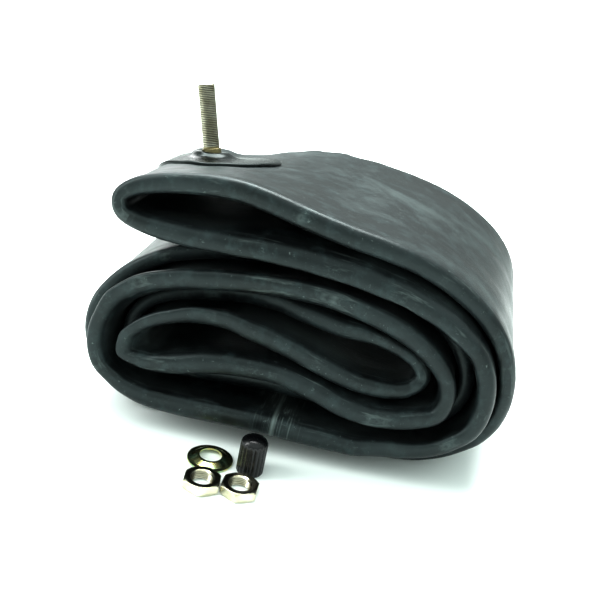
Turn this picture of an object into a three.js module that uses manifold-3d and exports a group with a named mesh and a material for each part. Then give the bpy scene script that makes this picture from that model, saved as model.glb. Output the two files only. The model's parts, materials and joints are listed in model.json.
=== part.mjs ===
// A heavy-duty motorcycle inner tube, let down, folded flat and rolled up, with its valve,
// its valve core and the loose hardware that comes with it: two rim nuts, a dished washer
// and a dust cap. Millimetres, +Z up. The roll's front face, where the folded edges show,
// lies on Y = 0 and the roll runs back along +Y. It rests on Z = 0.

import * as THREE from 'three';
import { mergeVertices } from 'three/addons/utils/BufferGeometryUtils.js';
import Module from 'manifold-3d';

// ---- Driving dimensions: the tube -------------------------------------------------------
const flatWidth = 140;          // width of the tube pressed flat
const wall = 2.4;               // rubber wall
const layer = 8.0;              // thickness of the tube pressed flat, both walls and the air
const layerGap = 0.9;           // air between two layers of the roll
const drawnPitch = 8.9;         // the layer pitch that the route below is drawn for
const edgeLength = 16;          // how far in from the front edge a lifted or hanging edge bends
const backFlare = 26;           // how much wider the roll is at its back, all on the right
const flareFoot = -75;          // the side of the roll that doesn't flare
const flareSpan = 155;          // from there to the side that flares most
const settle = 9;               // how far the left shoulder of the roll sinks at its back
const settleFrom = [-8, -52];   // X where it starts to sink and where it has sunk fully
const settleOver = [24, 54];    // heights of the hollow that it sinks into
const airWays = 0.8;            // the least air space left between the two walls
const origin = [0, 78];         // middle of the face that the roll rests on, X and Y

// ---- Driving dimensions: the valve ------------------------------------------------------
const stemRadius = 3.8;         // over the thread
const stemLength = 31.5;        // from the tube's surface to the stem's mouth
const stemPlace = [-49, 70];    // where the stem stands on the top layer, X and distance back
const stemLean = 10;            // degrees that the stem leans from square, to the left
const stemWall = 1.2;           // brass between the thread and the core's bore
const footFlange = 1.9;         // how far the disc at the stem's root stands out from the thread
const footThickness = 1;
const patchLength = 47;         // oval rubber patch round the valve
const patchWidth = 48;
const patchOffset = 2.5;        // the patch's middle lies this far right of the stem
const patchHeight = 3.6;        // at the stem
const patchRim = 0.7;           // at its edge
const patchBump = 3.7;          // width of the raised ring of rubber round the stem
const coreSeatDepth = 20.5;     // from the stem's mouth down to the taper that the core seats on
const coreSeatStep = 0.9;       // how much narrower the bore is below that taper
const ledgeStep = 0.6;          // and again below the ledge that holds the core's spring cup
const collarStep = 0.3;         // the plain shoulder at the patch, outside the thread
const collarHeight = 1.6;

// ---- Driving dimensions: the valve core -------------------------------------------------
const plugDepth = 0.7;          // from the stem's mouth down to the core's threaded plug
const plugLength = 5;
const barrelLength = 7;
const barrelPlay = 0.6;         // radial, barrel in the core's bore
const pinRadius = 0.5;
const pinTravel = 1.6;
const gasketLength = 1.8;
const sealThickness = 1.1;
const springLength = 5;
const springWire = 0.35;
const cupLength = 1.6;

// ---- Driving dimensions: the loose hardware ---------------------------------------------
const nutAcrossFlats = 12.7;
const nutHeight = 3.8;
const nutChamfer = 0.5;
const threadClearance = 0.15;   // radial, nut and cap over the stem
const washerRadius = 8.6;
const washerSheet = 0.8;
const washerHeight = 2.3;
const washerFlange = 1.6;       // flat rim round the dish
const capLength = 15;
const capWall = 1.15;
const capFlutes = 18;
const capFluteDepth = 0.35;
const looseAt = [-20.6, -26.1]; // where the first loose nut lies, X and Y
const looseGap = 0.8;           // the least room between two loose pieces

// ---- Fits -------------------------------------------------------------------------------
const fit = 0.3;                // air between two pieces that touch

const pitch = layer + layerGap;
const growth = pitch - drawnPitch;
const collarRadius = stemRadius + collarStep;
const footRadius = stemRadius + footFlange;
const coreBoreRadius = stemRadius - stemWall;
const airBoreRadius = coreBoreRadius - coreSeatStep;
const ledgeRadius = airBoreRadius - ledgeStep;
const threadRadius = stemRadius + threadClearance;
const capRadius = threadRadius + capWall;
const nutCorner = nutAcrossFlats / Math.sqrt(3);

// ---- The folded tube's route ------------------------------------------------------------
// The ring lies flat as two bands, an inner and an outer, joined by a fold at each end. The
// route is a closed loop through the middle of both, seen on the roll's front face. Each stop
// says where the band is, how many layers lie between it and the middle of the roll (out)
// and the floor (up), how thick it is there against a plain layer, how far its edge stands
// back from the front face, how its front edge bends away, and how far its back sinks.
function stop(x, z, out, up, squeeze = 1, back = 0, edge = [0, 0], sink = 0) {
  return { x, z, out, up, squeeze, back, edge, sink };
}

const innerBand = [
  stop(-62.5, 82.4, 3, 8.5, 0.8),
  stop(-50, 81.2, 2, 8.5, 1, 0, [0, -0.5]),
  stop(-36, 81.2, 1, 8.5, 1, 0, [0, -1]),
  stop(-22, 83, 0, 8.5, 1, 0, [0, -2.8]),
  stop(-6, 83.8, 0, 8.5, 1, 0, [0, -4]),
  stop(10, 83.2, 0, 8.5, 1, 0, [0, -4.6]),
  stop(26, 81.2, 1, 8.5, 0.97, 0, [0, -5]),
  stop(42, 76.2, 2, 8.4, 0.95, 0, [-0.5, -3.5]),
  stop(57, 68, 2.5, 8, 0.93, 0, [-1, -1.5]),
  stop(67.6, 58.3, 3.5, 7, 0.9),
  stop(73.2, 47.5, 3.5, 5.8, 0.9),
  stop(74.3, 37, 3.5, 4.6, 0.9, 0, [0.3, 0]),
  stop(72.5, 27.5, 3.5, 3.4, 0.88, 0, [0.5, 1.5]),
  stop(66, 18.5, 3.2, 2.2, 0.85, 0, [1, 4]),
  stop(56, 12.8, 2.5, 1.6, 0.85, 0, [1, 4]),
  stop(44, 11.1, 2, 1.5, 0.95, 0, [0, 3]),
  stop(30, 11, 1, 1.5, 0.95),
  stop(14, 11.6, 0, 1.5, 1.05),
  stop(-2, 12, 0, 1.5, 1.15, 0, [0, 0.8]),
  stop(-20, 12, 0, 1.5, 1.15, 0, [0, 1.4]),
  stop(-38, 12, 1, 1.5, 1.15, 0, [0, 1.4]),
  stop(-52, 13.2, 2, 1.6, 1, 0, [-0.5, 1.4]),
  stop(-60.8, 17.8, 2.3, 2, 0.8, 0, [-2, 1]),
  stop(-67.2, 25, 2.5, 2.8, 0.68, 0, [-3, 0]),
  stop(-69.6, 33.5, 2.5, 3.6, 0.68, 0, [-3, 0]),
  stop(-68.4, 42, 2.5, 4.5, 0.7, 0, [-3, 1]),
  stop(-63.2, 50.6, 2.5, 5.4, 0.78, 0, [-4, 2.5]),
  stop(-55, 57, 2.2, 6.2, 0.92, 0, [-3, 3.5]),
  stop(-45, 61.5, 1.6, 6.5, 1, 0, [-1, 3]),
  stop(-34, 64.5, 1, 6.5, 1, 0, [0, 2]),
  stop(-20, 66.7, 0, 6.5, 1, 0, [0, 1.8]),
  stop(-5, 67.5, 0, 6.5, 1, 0, [0, 2.3]),
  stop(10, 67, 0, 6.5, 1, 0, [0, 2.5]),
  stop(24, 64.8, 0.8, 6.5, 1, 0, [0, 2]),
  stop(37, 61, 1.2, 6.4, 1, 0, [0, 1.8]),
  stop(48, 55.5, 1.5, 6, 0.95, 0, [0.3, 1.5]),
  stop(56.5, 48, 1.5, 5.4, 0.85, 0, [1, 0.5]),
  stop(59.8, 39.5, 1.5, 4.6, 0.8, 0, [1, 0]),
  stop(58.5, 32, 1.5, 3.9, 0.85, 0, [0.6, 0]),
  stop(53, 28.3, 1.4, 3.5, 1, 0, [0, 0.5]),
  stop(43.5, 26.6, 1, 3.5, 1, 0, [0, -0.7]),
  stop(34, 26.5, 0.8, 3.5, 1, 0, [0, -1.5]),
  stop(24, 28, 0.5, 3.5, 1, 0, [0, -1.5]),
  stop(12, 31.8, 0, 3.5, 1, 0, [0, -1]),
  stop(-2, 34.6, 0, 3.5),
  stop(-16, 34.8, 0, 3.5, 1.1),
  stop(-30, 33, 0, 3.5, 1.15),
  stop(-42, 29.5, 0.3, 3.5, 1.1, 0, [0, 0.5]),
  stop(-50.5, 28.4, 0.5, 3.5, 0.85, 1, [-3, 0]),
  stop(-55.7, 31.4, 0.5, 3.7, 0.65, 1, [-6, -1]),
  stop(-56.6, 37, 0.5, 4, 0.65, 1, [-5, 0]),
  stop(-53, 42.6, 0.5, 4.3, 0.65, 1, [-3, 1]),
  stop(-46.5, 46, 0.4, 4.5, 0.7, 0, [-1, 3]),
  stop(-37, 48, 0.2, 4.5, 0.8, 0, [0, 5]),
  stop(-26, 49.3, 0, 4.5, 0.9, 0, [0, 4]),
  stop(-14, 48.3, 0, 4.5, 1, 0, [0, 2]),
  stop(-3, 46.3, 0, 4.5, 1, 0, [0, 1]),
  stop(7, 43.3, 0, 4.5, 1, 1),
  stop(16, 39.8, 0, 4.5, 1, 2),
  stop(25, 37, 0.3, 4.5, 0.97, 3),
  stop(34, 35.7, 0.5, 4.5, 0.95, 4),
  stop(43, 36.2, 0.5, 4.5, 0.85, 5),
];

const innerEndFold = [
  stop(48.2, 39.1, 0.5, 4.6, 0.8, 6),
  stop(50, 43, 0.5, 5, 0.75, 7),
  stop(47.6, 47, 0.5, 5.4, 0.7, 8),
];

const outerBand = [
  stop(41, 50.6, 0.5, 5.5, 0.7, 9),
  stop(30, 53.9, 0.5, 5.5, 0.85, 9),
  stop(16, 55, 0, 5.5, 1, 9),
  stop(3, 57, 0, 5.5, 1, 10),
  stop(-10, 58.7, 0, 5.5, 0.95, 12),
  stop(-24, 57.6, 0, 5.5, 0.87, 15),
  stop(-37, 55.3, 0.5, 5.5, 0.8, 16),
  stop(-48, 52.7, 1.2, 5.5, 0.7, 16),
  stop(-57, 47.6, 1.5, 5, 0.68, 16),
  stop(-62.2, 40, 1.5, 4.2, 0.65, 16),
  stop(-62.8, 31.6, 1.5, 3.4, 0.65, 16),
  stop(-57.8, 24.4, 1.5, 2.7, 0.68, 16),
  stop(-48, 20.9, 1.2, 2.5, 0.7, 16),
  stop(-34, 21, 0.8, 2.5, 0.8, 16),
  stop(-18, 22, 0, 2.5, 0.92, 16),
  stop(-2, 22.3, 0, 2.5, 0.95, 16),
  stop(14, 21.3, 0, 2.5, 0.9, 16),
  stop(28, 19.2, 0.8, 2.5, 0.78, 16),
  stop(42, 18.9, 1.5, 2.5, 0.75, 16),
  stop(54.5, 20.6, 2, 2.6, 0.75, 16),
  stop(62.7, 25.2, 2.5, 3, 0.75, 16),
  stop(66.6, 33, 2.5, 3.9, 0.75, 15),
  stop(66.9, 41, 2.5, 4.8, 0.75, 15),
  stop(63.8, 49.5, 2.5, 5.8, 0.75, 15),
  stop(56.4, 58.6, 2.3, 6.8, 0.76, 16),
  stop(46, 65.8, 2, 7.3, 0.8, 16),
  stop(33, 71, 1.5, 7.5, 0.83, 16),
  stop(18, 74.2, 0, 7.5, 0.85, 16),
  stop(4, 75.5, 0, 7.5, 0.85, 16),
  stop(-10, 75.6, 0, 7.5, 0.85, 16),
  stop(-24, 74.4, 0, 7.5, 0.83, 16),
  stop(-38, 72.1, 1.5, 7.5, 0.82, 16),
  stop(-50.5, 68.6, 2.6, 7.4, 0.77, 15),
  stop(-61, 62.4, 3.2, 6.8, 0.74, 14),
  stop(-69.8, 54, 3.5, 6, 0.72, 12),
  stop(-75.1, 44.5, 3.5, 4.8, 0.72, 11),
  stop(-76.2, 34, 3.5, 3.6, 0.72, 10),
  stop(-73.4, 22.6, 3.5, 2.2, 0.72, 11),
  stop(-66.4, 11.9, 3.3, 1, 0.74, 13),
  stop(-56.5, 5.6, 3, 0.6, 0.76, 15),
  stop(-44, 3.1, 2, 0.5, 0.78, 16),
  stop(-24, 3.1, 1, 0.5, 0.78, 16),
  stop(-4, 3.1, 0, 0.5, 0.78, 16),
  stop(16, 3.1, 0, 0.5, 0.78, 16),
  stop(32, 3.1, 1, 0.5, 0.78, 16),
  stop(46, 3.4, 2.2, 0.5, 0.77, 16),
  stop(58.3, 5.4, 3, 0.6, 0.75, 16),
  stop(69.4, 11.5, 4, 1.2, 0.75, 15),
  stop(77.9, 20.3, 4.5, 2.2, 0.75, 13),
  stop(81.6, 30, 4.5, 3.4, 0.75, 11),
  stop(82.1, 40, 4.5, 4.6, 0.75, 9),
  stop(80.2, 50, 4.5, 5.9, 0.78, 8),
  stop(75.4, 60.8, 4.5, 7.3, 0.8, 7),
  stop(66.8, 70.9, 3.5, 8.6, 0.85, 6),
  stop(54.8, 79.4, 3, 9.2, 0.9, 5),
  stop(42, 85.6, 2.5, 9.4, 0.92, 3),
  stop(28, 89.6, 1, 9.5, 0.97, 1),
  stop(12, 92.3, 0, 9.5, 1, 0),
  stop(-3, 95.3, 0, 9.5, 1, 0, [0, 0], 2),
  stop(-16, 98.3, 0, 9.5, 1, 0, [0, 0], 5.5),
  stop(-27, 100.2, 0, 9.5, 1, 0, [0, 0], 8),
  stop(-38, 100.2, 1, 9.5, 1, 0, [0, 0], 9),
  stop(-48, 98.9, 2, 9.5, 0.95, 0, [0, 0], 8),
  stop(-57, 96.8, 3, 9.5, 0.88, 0, [0, 0], 4.5),
];

const outerEndFold = [
  stop(-64.4, 93.8, 3, 9.4, 0.77, 0, [0, 0], 1.5),
  stop(-68.5, 89.6, 3, 9, 0.67),
  stop(-67.5, 85, 3, 8.6, 0.7),
];

const stops = [...innerBand, ...innerEndFold, ...outerBand, ...outerEndFold];

// Where a stop stands once every layer under it has its real thickness.
function placed({ x, z, out, up }) {
  return new THREE.Vector3(x + Math.sign(x) * out * growth, 0, z + up * growth);
}

const route = new THREE.CatmullRomCurve3(stops.map(placed), true, 'centripetal');
route.arcLengthDivisions = 2000;
const loopLength = route.getLength();

// A value of the stops, eased from each stop to the next. t runs once round the loop.
function along(t, read) {
  const turn = ((t % 1) + 1) % 1;
  const at = turn * stops.length;
  const first = Math.floor(at) % stops.length;
  const ease = THREE.MathUtils.smoothstep(at - Math.floor(at), 0, 1);
  return THREE.MathUtils.lerp(read(stops[first]), read(stops[(first + 1) % stops.length]), ease);
}

// The band at one place of its route, ready to hand out the points of a section there.
function station(t) {
  const middle = route.getPoint(t);
  const ahead = route.getTangent(t);
  const normal = new THREE.Vector3(-ahead.z, 0, ahead.x).normalize();
  const squeezed = layer * along(t, (s) => s.squeeze);
  const thickness = Math.max(squeezed, 2 * wall + airWays * 0.5);
  middle.z = Math.max(middle.z, thickness / 2);
  return {
    middle,
    normal,
    thickness,
    back: along(t, (s) => s.back),
    edge: [along(t, (s) => s.edge[0]), along(t, (s) => s.edge[1])],
    sink: along(t, (s) => s.sink),
  };
}

// A point of the band: across runs from its front edge to its back edge, and off is how far
// from its middle it lies, along the normal.
function bandPoint(here, across, off) {
  const bend = Math.max(0, 1 - across / edgeLength) ** 2;
  const y = across + here.back;
  const x = here.middle.x + here.normal.x * off + here.edge[0] * bend;
  const z = here.middle.z + here.normal.z * off + here.edge[1] * bend;
  const flare = (backFlare * y * (x - flareFoot)) / (flareSpan * flatWidth);
  const shoulder = 1 - THREE.MathUtils.smoothstep(x, settleFrom[1], settleFrom[0]);
  const settled = settle * shoulder * THREE.MathUtils.smoothstep(z, ...settleOver);
  return new THREE.Vector3(x + flare, y, z - ((here.sink + settled) * y) / flatWidth);
}

// Whether the band lies flat on the floor at a station.
function rests(here) {
  return here.middle.z - here.thickness / 2 < 1e-4;
}

// The stations that the surface needs: a new one wherever the route has turned enough, close
// ones from where the valve's patch starts to where it ends, and none between the two ends
// of the flat that the roll rests on, so that it stands on one plain face.
function pickStations(turnStep, longest, closest = longest) {
  const fine = 2400;
  const picked = [0];
  const patchReach = patchLength * 0.6 + patchOffset;
  let turned = 0;
  let covered = 0;
  let way = 0;
  let last = station(0);
  for (let i = 1; i < fine; i += 1) {
    const here = station(i / fine);
    const before = last;
    const stepped = here.middle.distanceTo(before.middle);
    turned += here.normal.angleTo(before.normal);
    covered += stepped;
    way += stepped;
    last = here;
    const limit = Math.abs(way - stemWay) < patchReach ? closest : longest;
    const landed = rests(here) !== rests(before);
    if (landed || (!rests(here) && (turned > turnStep || covered > limit))) {
      picked.push((landed && rests(before) ? i - 1 : i) / fine);
      turned = 0;
      covered = 0;
    }
  }
  return picked;
}

// A flat tube's section: round at both edges, with stops across its flats.
function bandSection(thickness, inset, flats) {
  const r = thickness / 2;
  const width = flatWidth - inset;
  const diagonal = r * Math.SQRT1_2;
  const shoulder = r - diagonal;
  const upper = [
    [inset + shoulder, diagonal],
    ...flats.map((across) => [across, r]),
    [width - shoulder, diagonal],
  ];
  const lower = upper.map(([across, off]) => [across, -off]).reverse();
  return [[inset, 0], ...upper, [width, 0], ...lower];
}

// A ring of sections joined into one closed skin that runs round the whole loop.
function ringSkin(places, sectionAt) {
  const rings = places.map((t) => sectionAt(station(t)));
  const count = rings[0].length;
  const positions = rings.flat().flatMap((p) => [p.x, p.y, p.z]);
  const indices = [];
  rings.forEach((ring, i) => {
    const next = (i + 1) % rings.length;
    for (let j = 0; j < count; j += 1) {
      const a = i * count + j;
      const b = i * count + ((j + 1) % count);
      const c = next * count + ((j + 1) % count);
      const d = next * count + j;
      indices.push(a, b, c, a, c, d);
    }
  });
  const geometry = new THREE.BufferGeometry();
  geometry.setAttribute('position', new THREE.Float32BufferAttribute(positions, 3));
  geometry.setIndex(indices);
  return geometry;
}

// ---- Solids -----------------------------------------------------------------------------
const wasm = await Module();
wasm.setup();

function signedVolume(positions, indices) {
  const p = (k) => new THREE.Vector3().fromArray(positions, 3 * indices[k]);
  let volume = 0;
  for (let k = 0; k < indices.length; k += 3) {
    volume += p(k).dot(p(k + 1).cross(p(k + 2))) / 6;
  }
  return volume;
}

function solid(geometry) {
  const bare = geometry.clone();
  bare.deleteAttribute('normal');
  bare.deleteAttribute('uv');
  const merged = mergeVertices(bare, 1e-4);
  const indices = Uint32Array.from(merged.index.array);
  const positions = Float32Array.from(merged.attributes.position.array);
  if (signedVolume(positions, indices) < 0) {
    for (let k = 0; k < indices.length; k += 3) {
      [indices[k], indices[k + 1]] = [indices[k + 1], indices[k]];
    }
  }
  return new wasm.Manifold(
    new wasm.Mesh({ numProp: 3, vertProperties: positions, triVerts: indices }),
  );
}

function geometryOf(manifold) {
  const mesh = manifold.getMesh();
  const geometry = new THREE.BufferGeometry();
  geometry.setAttribute('position', new THREE.Float32BufferAttribute(mesh.vertProperties, 3));
  geometry.setIndex([...mesh.triVerts]);
  geometry.computeVertexNormals();
  return geometry;
}

function lathe(profile, sides) {
  const geometry = new THREE.LatheGeometry(profile.map(([r, z]) => new THREE.Vector2(r, z)), sides);
  geometry.rotateX(Math.PI / 2);
  return geometry;
}

function rod(radius, low, high, sides) {
  return lathe([[0, low], [radius, low], [radius, high], [0, high]], sides);
}

function extruded(shape, low, high, curveSegments = 12) {
  const depth = high - low;
  const geometry = new THREE.ExtrudeGeometry(shape, { depth, bevelEnabled: false, curveSegments });
  geometry.translate(0, 0, low);
  return geometry;
}

// ---- The tube ---------------------------------------------------------------------------
// The band's surface a given way along the loop, measured in millimetres round it. The top
// layer runs leftwards there, so its outer side is the one that the normal points away from.
const topSide = -1;

function topSurface(way, across, height = 0) {
  const here = station(route.getUtoTmapping(way / loopLength));
  return bandPoint(here, across, topSide * (here.thickness / 2 + height));
}

// How far along the loop the valve stands: where the top layer, near the loop's end, has
// come to the stem's place.
function findStemWay() {
  const [x, across] = stemPlace;
  const step = 0.25;
  let way = loopLength * 0.9;
  while (topSurface(way, across).x > x) {
    way += step;
  }
  return way;
}

const stemWay = findStemWay();

const skinPlaces = pickStations(THREE.MathUtils.degToRad(11), 15, 3);
const airPlaces = pickStations(THREE.MathUtils.degToRad(18), 24);

function outerSkin() {
  const flats = [edgeLength * 0.45, edgeLength, flatWidth / 2, flatWidth - edgeLength * 0.45];
  return ringSkin(skinPlaces, (here) => (
    bandSection(here.thickness, 0, flats).map(([across, off]) => bandPoint(here, across, off))
  ));
}

function airSkin() {
  return ringSkin(airPlaces, (here) => {
    const thickness = Math.max(here.thickness - 2 * wall - airWays * 0.2, airWays * 0.3);
    const flats = [flatWidth / 2];
    return bandSection(thickness, wall + edgeLength * 0.2, flats)
      .map(([across, off]) => bandPoint(here, across, off));
  });
}

// The valve's frame: square to the top layer at its own place, then leaning left.
function valveFrame() {
  const [, across] = stemPlace;
  const reach = 5;
  const base = topSurface(stemWay, across);
  const right = topSurface(stemWay - reach, across)
    .sub(topSurface(stemWay + reach, across)).normalize();
  const backwards = topSurface(stemWay, across + reach)
    .sub(topSurface(stemWay, across - reach)).normalize();
  const up = right.clone().cross(backwards).normalize();
  const deep = up.clone().cross(right);
  const lean = new THREE.Matrix4().makeRotationY(THREE.MathUtils.degToRad(-stemLean));
  return new THREE.Matrix4().makeBasis(right, deep, up).multiply(lean).setPosition(base);
}

const valve = valveFrame();

const footLow = fit * 2;
const footHigh = footLow + footThickness;
const coreSeatHeight = stemLength - coreSeatDepth;

// The foot of the stem with its play all round, from its underside up to a given height.
function footSpace(high) {
  return solid(rod(footRadius + fit, footLow - fit, high, 28).applyMatrix4(valve));
}

function tube() {
  const hole = rod(ledgeRadius + fit, -(layer * 0.5), fit * 2, 20).applyMatrix4(valve);
  return solid(outerSkin())
    .subtract(solid(airSkin()))
    .subtract(footSpace(patchHeight * 2))
    .subtract(solid(hole));
}

// ---- The valve --------------------------------------------------------------------------
// The patch is an oval pad, thin at its rim and raised round the stem, that lies on the curve
// of the tube and holds the stem's foot in a pocket. Each ring is a share of the oval and
// the height of the patch there.
function valvePatch() {
  const bump = (2 * (stemRadius + patchBump)) / patchLength;
  const rings = [
    [1, patchRim * 0.55],
    [0.97, patchRim],
    [0.89, patchRim * 1.05],
    [0.81, patchRim * 1.1],
    [0.7, patchRim * 1.2],
    [bump + 0.2, patchRim * 1.35],
    [bump + 0.04, patchHeight * 0.78],
    [bump - 0.06, patchHeight],
    [0.12, patchHeight],
  ];
  const sides = 36;
  const surfacePoint = (share, side, height) => {
    const angle = (side * 2 * Math.PI) / sides;
    const right = patchOffset * share ** 2 + (share * patchLength * Math.cos(angle)) / 2;
    const deep = (share * patchWidth * Math.sin(angle)) / 2;
    return topSurface(stemWay - right, stemPlace[1] + deep, height);
  };
  const top = rings.map(([share, height]) => [share, height + fit]);
  const under = rings.map(([share]) => [share, fit]).reverse();
  const levels = [...top, ...under];
  const positions = levels.flatMap(([share, height]) => (
    Array.from({ length: sides }, (_, side) => surfacePoint(share, side, height).toArray()).flat()
  ));
  const indices = [];
  levels.forEach((_, i) => {
    const next = (i + 1) % levels.length;
    for (let j = 0; j < sides; j += 1) {
      const k = (j + 1) % sides;
      indices.push(i * sides + j, i * sides + k, next * sides + k);
      indices.push(i * sides + j, next * sides + k, next * sides + j);
    }
  });
  const pad = new THREE.BufferGeometry();
  pad.setAttribute('position', new THREE.Float32BufferAttribute(positions, 3));
  pad.setIndex(indices);
  const way = rod(collarRadius + fit, -2, patchHeight * 3, 28);
  return solid(pad)
    .subtract(solid(way.applyMatrix4(valve)))
    .subtract(footSpace(footHigh + fit));
}

function valveStem() {
  const collarTop = patchHeight + collarHeight;
  const chamfer = 0.4;
  const taper = coreBoreRadius - airBoreRadius;
  return lathe([
    [ledgeRadius, footLow],
    [footRadius, footLow],
    [footRadius, footHigh],
    [collarRadius, footHigh],
    [collarRadius, collarTop],
    [stemRadius, collarTop],
    [stemRadius, stemLength - chamfer],
    [stemRadius - chamfer, stemLength],
    [coreBoreRadius, stemLength],
    [coreBoreRadius, coreSeatHeight + taper],
    [airBoreRadius, coreSeatHeight],
    [airBoreRadius, ledgeHeight],
    [ledgeRadius, ledgeHeight],
    [ledgeRadius, footLow],
  ], 28);
}

// ---- The valve core, from the top down --------------------------------------------------
const coreClearance = 0.1;
const plugTop = stemLength - plugDepth;
const plugBottom = plugTop - plugLength;
const plugHoleRadius = pinRadius + 0.6;
const barrelTop = plugBottom - fit;
const barrelBottom = barrelTop - barrelLength;
const barrelRadius = coreBoreRadius - barrelPlay;
const barrelBoreRadius = pinRadius + 0.4;
const gasketInset = 1.6;
const sealTop = barrelBottom - fit;
const sealBottom = sealTop - sealThickness;
const sealRadius = airBoreRadius - 0.2;
const shoulderBottom = sealBottom - fit - 0.7;
const springOuterRadius = airBoreRadius - 0.15;
const springTop = shoulderBottom - pinTravel - 0.2;
const springBottom = springTop - springLength;
const cupHigh = springBottom - fit;
const cupLow = cupHigh - cupLength;
const ledgeHeight = cupLow - fit;

function corePlug() {
  const body = rod(coreBoreRadius - coreClearance, plugBottom, plugTop, 24);
  const hole = rod(plugHoleRadius, plugBottom - 1, plugTop + 1, 16);
  const flatDepth = 0.8;
  const flatLength = 2.6;
  const block = new THREE.BoxGeometry(6, flatDepth * 2, flatLength * 2);
  const plain = solid(body).subtract(solid(hole));
  return [-1, 1].reduce((cut, side) => {
    const place = block.clone().translate(0, side * coreBoreRadius, plugTop);
    return cut.subtract(solid(place));
  }, plain);
}

function coreBarrel() {
  const groove = gasketLength + 2 * coreClearance;
  const grooveTop = barrelTop - gasketInset;
  const grooveRadius = barrelRadius - 0.6;
  return lathe([
    [barrelBoreRadius, barrelBottom],
    [grooveRadius, barrelBottom],
    [barrelRadius - 0.2, barrelBottom + 1],
    [barrelRadius, grooveTop - groove],
    [grooveRadius, grooveTop - groove],
    [grooveRadius, grooveTop],
    [barrelRadius, grooveTop],
    [barrelRadius, barrelTop],
    [barrelBoreRadius, barrelTop],
    [barrelBoreRadius, barrelBottom],
  ], 24);
}

function coreGasket() {
  const high = barrelTop - gasketInset - coreClearance;
  const low = high - gasketLength;
  const inner = barrelRadius - 0.6 + coreClearance;
  const outer = coreBoreRadius - coreClearance;
  return lathe([[inner, low], [outer - 0.2, low], [outer, high], [inner, high], [inner, low]], 24);
}

function corePin() {
  const low = cupLow - 0.5;
  const shoulderRadius = springOuterRadius - 0.2;
  const headRadius = pinRadius + 0.35;
  return lathe([
    [0, low],
    [pinRadius, low],
    [pinRadius, shoulderBottom],
    [shoulderRadius, shoulderBottom],
    [shoulderRadius, sealBottom - fit],
    [pinRadius, sealBottom - fit],
    [pinRadius, plugTop - 1.2],
    [headRadius, plugTop - 1],
    [headRadius, plugTop - 0.2],
    [0, plugTop - 0.2],
  ], 16);
}

function coreSeatSeal() {
  const inner = pinRadius + coreClearance;
  return lathe([[inner, sealBottom], [sealRadius, sealBottom], [sealRadius, sealTop],
    [inner, sealTop], [inner, sealBottom]], 20);
}

// The spring's coils, as one round wire with closed ends.
function coreSpring() {
  const turns = 5;
  const coilRadius = springOuterRadius - springWire;
  class Coil extends THREE.Curve {
    getPoint(t, target = new THREE.Vector3()) {
      const angle = t * turns * 2 * Math.PI;
      const rise = springBottom + springWire + t * (springLength - 2 * springWire);
      return target.set(coilRadius * Math.cos(angle), coilRadius * Math.sin(angle), rise);
    }
  }
  const wire = new THREE.Shape().absarc(0, 0, springWire / 2, 0, 2 * Math.PI);
  return new THREE.ExtrudeGeometry(wire, {
    extrudePath: new Coil(), steps: turns * 9, curveSegments: 3, bevelEnabled: false,
  });
}

function coreCup() {
  const inner = pinRadius + coreClearance;
  const outer = springOuterRadius - 0.05;
  return lathe([[inner, cupLow], [outer - 0.3, cupLow], [outer, cupLow + 0.5], [outer, cupHigh],
    [inner, cupHigh], [inner, cupLow]], 20);
}

// ---- The loose hardware -----------------------------------------------------------------
// A closed outline through count points, each given as a radius and an angle.
function outline(count, polar) {
  const points = Array.from({ length: count }, (_, i) => {
    const [radius, angle] = polar(i);
    return new THREE.Vector2(radius * Math.cos(angle), radius * Math.sin(angle));
  });
  return new THREE.Shape(points);
}

function rimNut() {
  const hexagon = outline(6, (i) => [nutCorner, (i * Math.PI) / 3 + Math.PI / 6]);
  const turned = nutAcrossFlats / 2;
  const slope = (nutCorner - turned) * 0.6;
  const blankRadius = nutCorner + 0.01;
  const blank = lathe([[0, 0], [turned, 0], [blankRadius, slope],
    [blankRadius, nutHeight - slope], [turned, nutHeight], [0, nutHeight]], 36);
  const bore = lathe([[0, -1], [threadRadius + nutChamfer, -1], [threadRadius + nutChamfer, 0],
    [threadRadius, nutChamfer], [threadRadius, nutHeight - nutChamfer],
    [threadRadius + nutChamfer, nutHeight], [threadRadius + nutChamfer, nutHeight + 1],
    [0, nutHeight + 1]], 28);
  return solid(extruded(hexagon, 0, nutHeight))
    .intersect(solid(blank)).subtract(solid(bore));
}

// A pressed dish: a flat rim, a cone and a hole at its top.
function cupWasher() {
  const hole = threadRadius + 0.25;
  const dishFoot = washerRadius - washerFlange;
  return lathe([
    [hole, washerHeight - washerSheet],
    [dishFoot, 0],
    [washerRadius, 0],
    [washerRadius, washerSheet],
    [dishFoot + 0.2, washerSheet],
    [hole + 0.9, washerHeight],
    [hole, washerHeight],
    [hole, washerHeight - washerSheet],
  ], 36);
}

function valveCap() {
  const steps = capFlutes * 2;
  const shape = outline(steps, (i) => (
    [capRadius - (i % 2) * capFluteDepth, (i * 2 * Math.PI) / steps]
  ));
  const dome = capRadius * 0.62;
  const domeProfile = [[0, 0], [capRadius - 0.4, 0], [capRadius + 0.1, 0.7],
    [capRadius + 0.1, capLength - dome]];
  for (let i = 1; i <= 4; i += 1) {
    const angle = (i * Math.PI) / 8;
    domeProfile.push([i === 4 ? 0 : (capRadius + 0.1) * Math.cos(angle),
      capLength - dome + dome * Math.sin(angle)]);
  }
  const bore = rod(threadRadius, -1, capLength - dome, 24);
  return solid(extruded(shape, 0, capLength))
    .intersect(solid(lathe(domeProfile, 36))).subtract(solid(bore));
}

// ---- Materials --------------------------------------------------------------------------
function finish(color, roughness, metalness) {
  return new THREE.MeshStandardMaterial({ color, roughness, metalness });
}

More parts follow.
